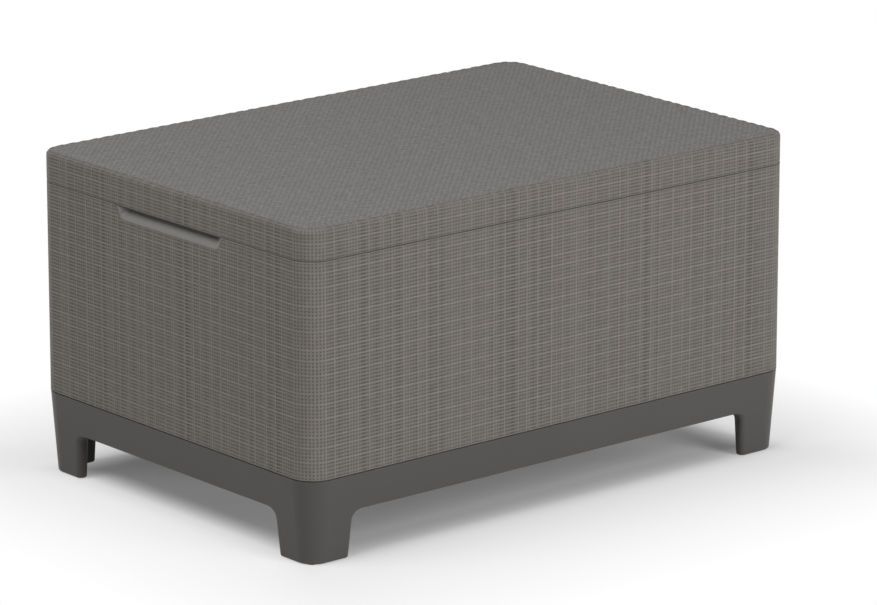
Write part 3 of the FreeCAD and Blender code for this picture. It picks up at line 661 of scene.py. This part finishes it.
def cutScoop(skin, side):
    half = scoopOutline()
    ring = half + [(-y, z) for y, z in reversed(half)]
    bm = bmesh.new()
    near, far = ([bm.verts.new((side * (outline["halfLength"] + reach), y, z)) for y, z in ring]
                 for reach in (-scoop["through"], scoop["through"]))
    bm.faces.new(near)
    bm.faces.new(far[::-1])
    for index in range(len(ring)):
        following = (index + 1) % len(ring)
        bm.faces.new((near[following], near[index], far[index], far[following]))
    bmesh.ops.recalc_face_normals(bm, faces=bm.faces)
    mesh = bpy.data.meshes.new("scoopCutter")
    bm.to_mesh(mesh)
    bm.free()
    cutter = bpy.data.objects.new("scoopCutter", mesh)
    bpy.context.scene.collection.objects.link(cutter)
    cut = skin.modifiers.new("scoop", "BOOLEAN")
    cut.operation = "DIFFERENCE"
    cut.solver = "MANIFOLD"
    cut.object = cutter
    result = bpy.data.meshes.new_from_object(skin.evaluated_get(bpy.context.evaluated_depsgraph_get()))
    skin.modifiers.clear()
    result.name = skin.name
    skin.data = result
    bpy.data.objects.remove(cutter)


drawnCore("wallCore", "wall_shell", "cabinet", 0.0, wallHigh.z + 1.0)  # so its top face stays where it is
drawnCore("lidCore", "lid_shell", "lid", outline["lidEdge"], lidHigh.z)
wallUp = rowLines(0, wallRows)
skirtUp = rowLines(wallRows, skirtRows, weave["seamBevel"], weave["plainRows"], weave["edgeRows"])
skirtBack = [skirtRows * strip / weave["backStrips"] for strip in range(weave["backStrips"] + 1)]
for side, word in ((1, "Right"), (-1, "Left")):
    columns = columnLines(side)
    wallSkin = weaveSkin(f"wallWeave{word}", "cabinet", wallPlace(side), columns, wallUp,
                         wovenDepth, [0, wallRows], side < 0, wovenSides)
    cutScoop(wallSkin, side)
    weaveSkin(f"lidSkirtWeave{word}", "lid", skirtPlace(side), columns, skirtUp,
              wovenDepth, skirtBack, side < 0, wovenSides)
    print("woven skins made on the", word.lower())
weaveSkin("lidTopWeave", "lid", topPlace, topLines(topRows), topLines(2 * topColumns),
          topDepth, [0, 2 * topColumns], True, wovenTop)
print("woven skin made on the lid's top")


# floor, light and camera

stageLook = {
    "floorRadius": 40.0,
    "floorSegments": 96,
    "floorColour": 0.8,
    "underLift": 0.1,  # share of plain white under the table; the white share that grows outwards paints the shadow's fade
    "edgeLift": 0.52,  # and just outside its outline
    "underFrom": -0.06,  # distances from the outline
    "edgeTo": 0.03,
    "fadeTo": 0.3,
    "endUnder": 0.06,  # the two ends get more white by these shares, a painted paler shadow there
    "endEdge": 0.14,
    "endFade": 0.06,  # and are plain white sooner by this distance
    "endTurn": 0.1,  # half of the way over which a long side's floor becomes an end's
    "worldLevel": 0.05,
}
plainWhite = (1.0, 1.0, 1.0, 1.0)


def seenRays(tree):
    # what camera, mirrors and clear things see, apart from what lights the table
    rays = addNode(tree, "ShaderNodeLightPath").outputs
    glossy = mathNode(tree, "MAXIMUM", rays["Is Camera Ray"], rays["Is Glossy Ray"])
    return mathNode(tree, "MAXIMUM", glossy, rays["Is Transmission Ray"])


def makeFloor():
    bm = bmesh.new()
    bmesh.ops.create_circle(bm, cap_ends=True, segments=stageLook["floorSegments"],
                            radius=stageLook["floorRadius"])
    mesh = bpy.data.meshes.new("paleFloor")
    bm.to_mesh(mesh)
    bm.free()
    floor = bpy.data.objects.new("paleFloor", mesh)
    bpy.context.scene.collection.objects.link(floor)
    material = bpy.data.materials.new("paleFloor")
    material.use_nodes = True
    tree = material.node_tree
    tree.nodes.clear()
    level = stageLook["floorColour"]
    plain = addNode(tree, "ShaderNodeBsdfDiffuse", {"Color": (level, level, level, 1.0)})
    white = addNode(tree, "ShaderNodeEmission", {"Color": plainWhite, "Strength": 1.0})
    place = addNode(tree, "ShaderNodeTexCoord").outputs["Object"]
    parts = addNode(tree, "ShaderNodeSeparateXYZ", {"Vector": place}).outputs
    past = [mathNode(tree, "SUBTRACT", mathNode(tree, "ABSOLUTE", parts[axis]), half)
            for axis, half in (("X", outline["halfLength"]), ("Y", outline["halfDepth"]))]
    outside = [mathNode(tree, "POWER", mathNode(tree, "MAXIMUM", value, 0.0), 2.0) for value in past]
    away = mathNode(tree, "SQRT", mathNode(tree, "ADD", *outside))
    away = mathNode(tree, "ADD", away, mathNode(tree, "MINIMUM", mathNode(tree, "MAXIMUM", *past), 0.0))
    # painted shadow: the white share grows with distance from the outline, so how far the floor's shadow
    # reaches is painted, and the ends are painted paler
    toEnd = addNode(tree, "ShaderNodeMapRange", {
        "Value": mathNode(tree, "SUBTRACT", *past), "From Min": -stageLook["endTurn"],
        "From Max": stageLook["endTurn"]}, interpolation_type="SMOOTHSTEP").outputs["Result"]
    under = mathNode(tree, "MULTIPLY_ADD", toEnd, stageLook["endUnder"], stageLook["underLift"])
    edge = mathNode(tree, "MULTIPLY_ADD", toEnd, stageLook["endEdge"], stageLook["edgeLift"])
    fade = mathNode(tree, "MULTIPLY_ADD", toEnd, -stageLook["endFade"], stageLook["fadeTo"])
    near = addNode(tree, "ShaderNodeMapRange", {
        "Value": away, "From Min": stageLook["underFrom"], "From Max": stageLook["edgeTo"],
        "To Min": under, "To Max": edge}, interpolation_type="SMOOTHSTEP").outputs["Result"]
    far = addNode(tree, "ShaderNodeMapRange", {
        "Value": away, "From Min": stageLook["edgeTo"], "From Max": fade,
        "To Min": 0.0, "To Max": mathNode(tree, "SUBTRACT", 1.0, edge)}).outputs["Result"]
    seen = mathNode(tree, "MULTIPLY", mathNode(tree, "ADD", near, far), seenRays(tree))
    both = addNode(tree, "ShaderNodeMixShader", {0: seen, 1: plain.outputs[0], 2: white.outputs[0]})
    ending = tree.nodes.new("ShaderNodeOutputMaterial")
    tree.links.new(both.outputs[0], ending.inputs["Surface"])
    mesh.materials.append(material)


def makeWorld():
    world = bpy.data.worlds.new("studioWorld")
    bpy.context.scene.world = world
    world.use_nodes = True
    tree = world.node_tree
    tree.nodes.clear()
    level = stageLook["worldLevel"]
    light = addNode(tree, "ShaderNodeBackground", {"Color": plainWhite, "Strength": level})
    white = addNode(tree, "ShaderNodeBackground", {"Color": plainWhite, "Strength": 1.0})
    both = addNode(tree, "ShaderNodeMixShader", {0: seenRays(tree), 1: light.outputs[0], 2: white.outputs[0]})
    ending = tree.nodes.new("ShaderNodeOutputWorld")
    tree.links.new(both.outputs[0], ending.inputs["Surface"])


softboxes = {
    "keySoftbox": {"place": (0.7, -3.2, 1.25), "size": (1.4, 2.3), "watts": 69.0},
    "topSoftbox": {"place": (-2.5, 0.0, 3.9), "size": (3.2, 2.6), "watts": 138.0},
    "backSoftbox": {"place": (2.5, 2.0, 0.2), "size": (2.4, 0.36), "watts": 40.0},  # below the lid's top
}


def makeSoftboxes():
    middle = (cadLow + cadHigh) / 2
    for name, given in softboxes.items():
        lamp = bpy.data.lights.new(name, "AREA")
        lamp.shape = "RECTANGLE"
        lamp.size, lamp.size_y = given["size"]
        lamp.energy = given["watts"]
        box = bpy.data.objects.new(name, lamp)
        box.location = given["place"]
        box.rotation_euler = (middle - Vector(given["place"])).to_track_quat("-Z", "Y").to_euler()
        bpy.context.scene.collection.objects.link(box)


photoView = {
    "azimuth": math.radians(-40.011),
    "elevation": math.radians(15.429),
    "distance": 6.8755,
    "lens": 221.79,
    "sensor": 36.0,
    "aimRight": 0.02867,  # where the picture's middle lies, from the table's middle
    "aimUp": -0.00295,
}


def makeCamera():
    turn, rise = photoView["azimuth"], photoView["elevation"]
    back = Vector((math.sin(turn) * math.cos(rise), -math.cos(turn) * math.cos(rise), math.sin(rise)))
    right = Vector((math.cos(turn), math.sin(turn), 0.0))
    up = back.cross(right)
    aim = (cadLow + cadHigh) / 2 + right * photoView["aimRight"] + up * photoView["aimUp"]
    lens = bpy.data.cameras.new("photoCamera")
    lens.sensor_fit = "HORIZONTAL"
    lens.sensor_width = photoView["sensor"]
    lens.lens = photoView["lens"]
    camera = bpy.data.objects.new("photoCamera", lens)
    turned = Matrix((right, up, back)).transposed().to_4x4()
    camera.matrix_world = Matrix.Translation(aim + back * photoView["distance"]) @ turned
    bpy.context.scene.collection.objects.link(camera)
    bpy.context.scene.camera = camera


makeFloor()
makeWorld()
makeSoftboxes()
makeCamera()
bpy.context.scene.view_settings.view_transform = "Standard"
print("stage set")
